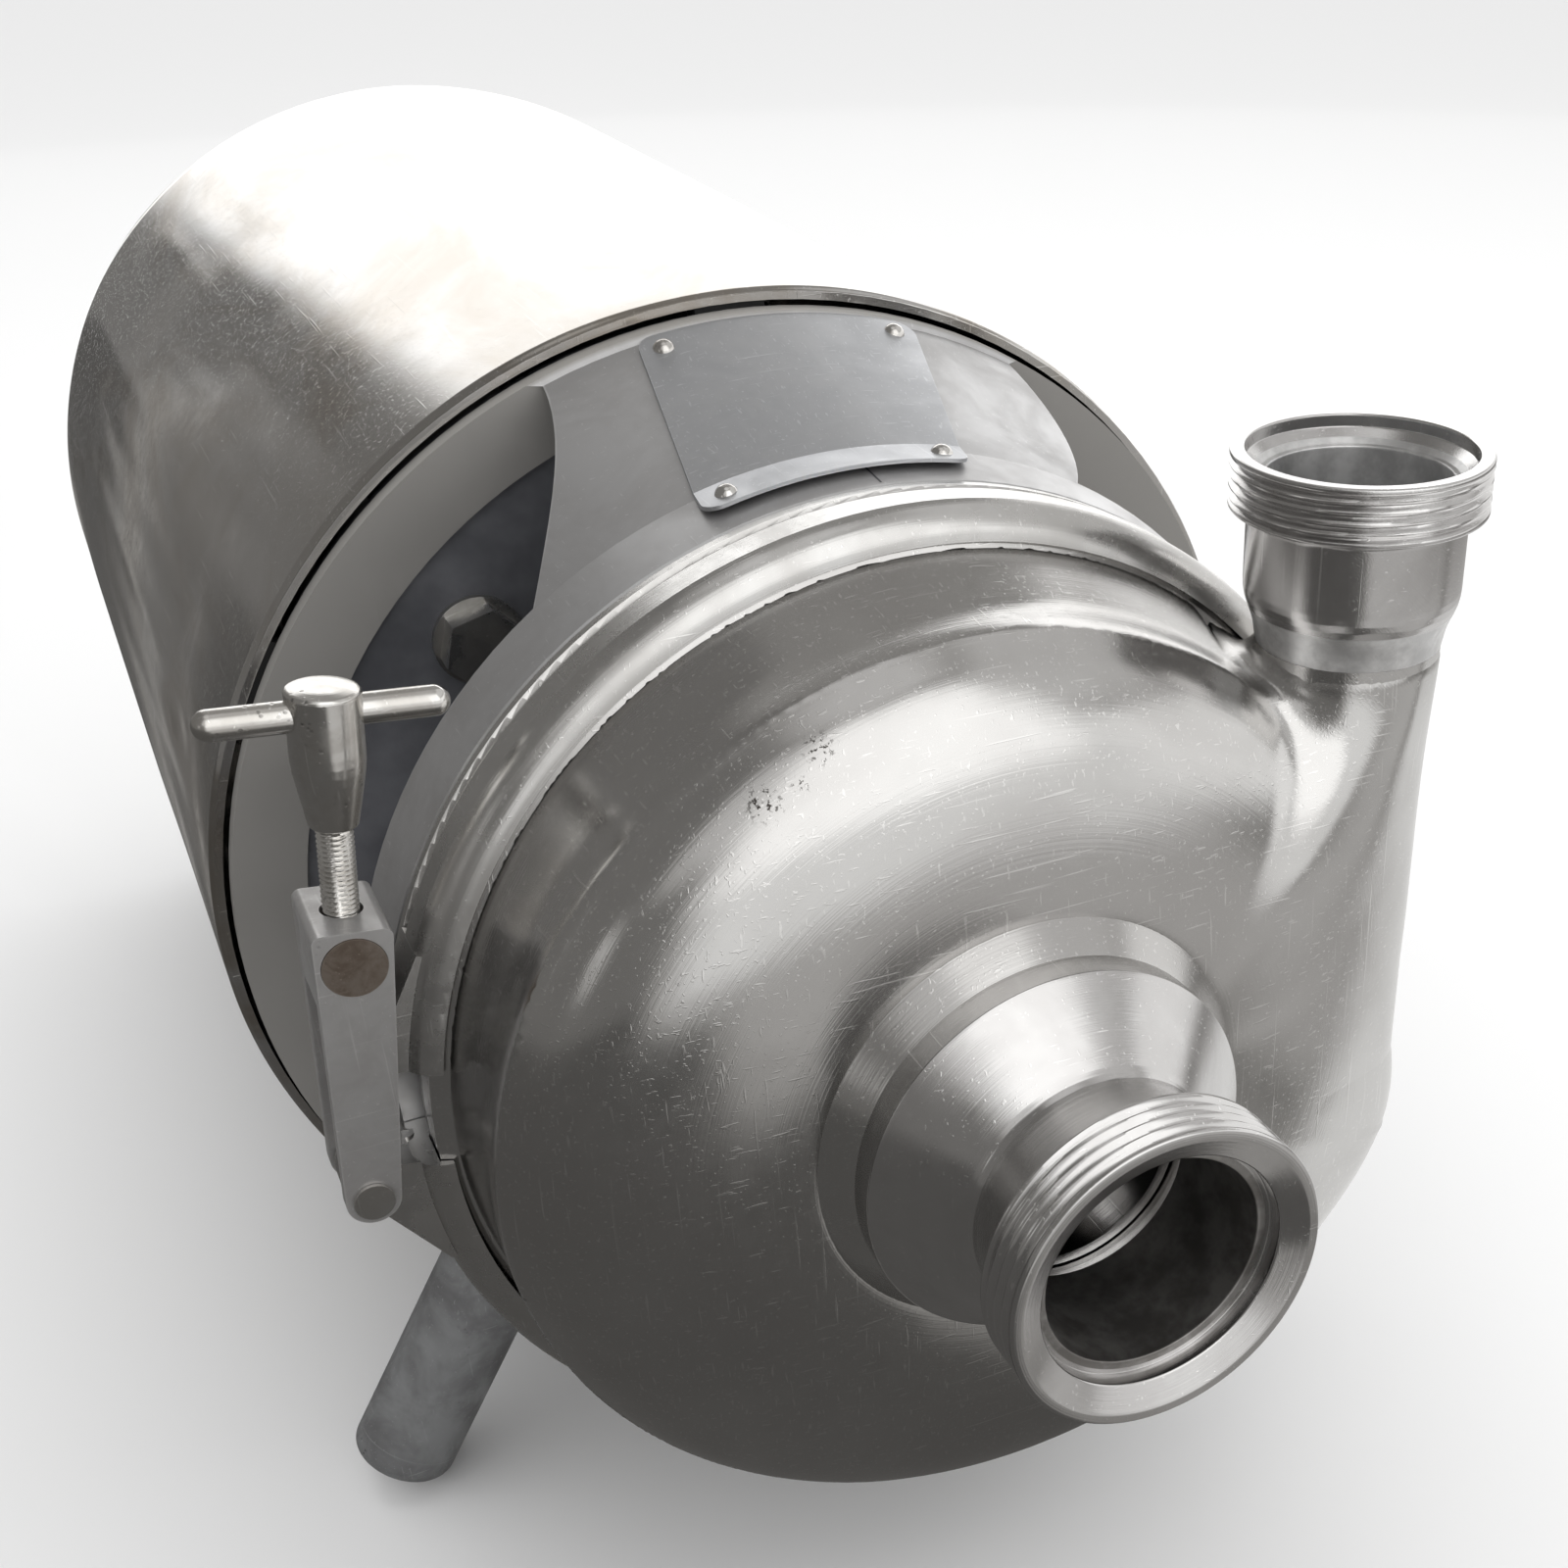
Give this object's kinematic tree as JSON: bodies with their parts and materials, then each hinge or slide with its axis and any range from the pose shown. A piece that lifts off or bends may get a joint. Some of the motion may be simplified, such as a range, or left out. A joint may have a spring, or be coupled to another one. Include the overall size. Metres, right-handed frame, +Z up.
{
  "type": "sanitary centrifugal pump",
  "caption": "Stainless sanitary centrifugal pump with threaded inlet and outlet, hinged ring clamp with a T-screw, open lantern and shrouded motor on splayed legs.",
  "frame": {"origin": "centre of the inlet union's end face, on the shaft axis", "axes": "+Y back along the shaft to the motor, +Z up, +X to the outlet's side"},
  "size_m": [0.393, 0.8161, 0.4133],
  "materials": {
    "stainless_polished": "polished",
    "stainless_brushed": "satin",
    "stainless_matte": "matte",
    "motor_paint": "satin",
    "seal_rubber": "matte",
    "seal_carbon": "satin",
    "nickel_plated": "gloss",
    "plain_steel": "satin",
    "fan_plastic": "matte",
    "lamination_steel": "matte"
  },
  "bodies": {
    "pump_frame": {"inlet_union": "stainless_brushed", "pump_casing": "stainless_polished", "outlet_union": "stainless_brushed", "casing_gasket": "seal_rubber", "back_plate": "stainless_brushed", "seal_cap": "stainless_brushed", "seal_cap_screws": "plain_steel", "stationary_seal_ring": "seal_carbon", "seal_spring": "stainless_brushed", "lantern": "stainless_matte", "nameplate": "stainless_brushed", "nameplate_rivets": "stainless_brushed", "motor_flange": "motor_paint", "flange_bolts": "plain_steel", "lantern_ring_screws": "plain_steel", "motor_frame": "motor_paint", "terminal_box": "motor_paint", "stator_core": "lamination_steel", "front_bearing": "plain_steel", "rear_bearing": "plain_steel", "rear_end_shield": "motor_paint", "motor_shroud": "stainless_polished", "shroud_pads": "seal_rubber", "shroud_rear_cover": "stainless_polished", "cover_studs": "plain_steel", "cover_cap_nuts": "nickel_plated", "cable_gland": "nickel_plated", "front_leg_left": "stainless_matte", "front_leg_right": "stainless_matte", "rear_leg_left": "stainless_matte", "rear_leg_right": "stainless_matte", "front_foot_left": "stainless_matte", "front_foot_right": "stainless_matte", "rear_foot_left": "stainless_matte", "rear_foot_right": "stainless_matte"},
    "rotor": {"impeller": "stainless_brushed", "impeller_nut": "stainless_brushed", "rotary_seal_ring": "seal_carbon", "stub_shaft": "stainless_brushed", "shaft_clamp": "stainless_brushed", "shaft_clamp_screw": "plain_steel", "drip_slinger": "seal_rubber", "motor_shaft": "plain_steel", "rotor_core": "lamination_steel", "cooling_fan": "fan_plastic"},
    "upper_clamp_half": {"clamp_upper": "stainless_brushed", "clamp_upper_lug": "stainless_brushed"},
    "lower_clamp_half": {"clamp_lower": "stainless_brushed", "clamp_lower_lug": "stainless_brushed", "clamp_hinge_pin": "stainless_brushed"},
    "clamp_link_bar": {"clamp_link": "stainless_brushed", "link_pivot_pin": "nickel_plated", "barrel_nut": "plain_steel"},
    "thrust_tip": {"clamp_screw_tip": "nickel_plated"},
    "t_screw": {"clamp_screw": "nickel_plated", "cross_bar": "nickel_plated"}
  },
  "joints": [
    {"name": "rotor_spin", "type": "hinge", "parent": "pump_frame", "child": "rotor", "pos_m": [0, 0.2, 0], "axis": [0, 1, 0], "continuous": true},
    {"name": "upper_half_swing", "type": "hinge", "parent": "pump_frame", "child": "upper_clamp_half", "pos_m": [0.176, 0.16526, 0], "axis": [0, 1, 0], "range_deg": [0, 3.1]},
    {"name": "lower_half_swing", "type": "hinge", "parent": "pump_frame", "child": "lower_clamp_half", "pos_m": [0.176, 0.16526, 0], "axis": [0, -1, 0], "range_deg": [0, 3.1]},
    {"name": "link_swing", "type": "hinge", "parent": "lower_clamp_half", "child": "clamp_link_bar", "pos_m": [-0.1787, 0.16526, -0.011], "axis": [0, -1, 0], "range_deg": [0, 100]},
    {"name": "screw_travel", "type": "slide", "parent": "clamp_link_bar", "child": "thrust_tip", "axis": [0.1115, 0, 0.9938], "range_m": [-0.00361, 0.00901]},
    {"name": "screw_turn", "type": "hinge", "parent": "thrust_tip", "child": "t_screw", "pos_m": [-0.1787, 0.16526, -0.011], "axis": [0.1115, 0, 0.9938], "range_deg": [-864, 2160]}
  ],
  "couplings": [
    {"joint": "upper_half_swing", "follows": "link_swing", "ratio": 0.03},
    {"joint": "lower_half_swing", "follows": "link_swing", "ratio": 0.03},
    {"joint": "screw_travel", "follows": "screw_turn", "m_per_rad": 0.00023873}
  ]
}
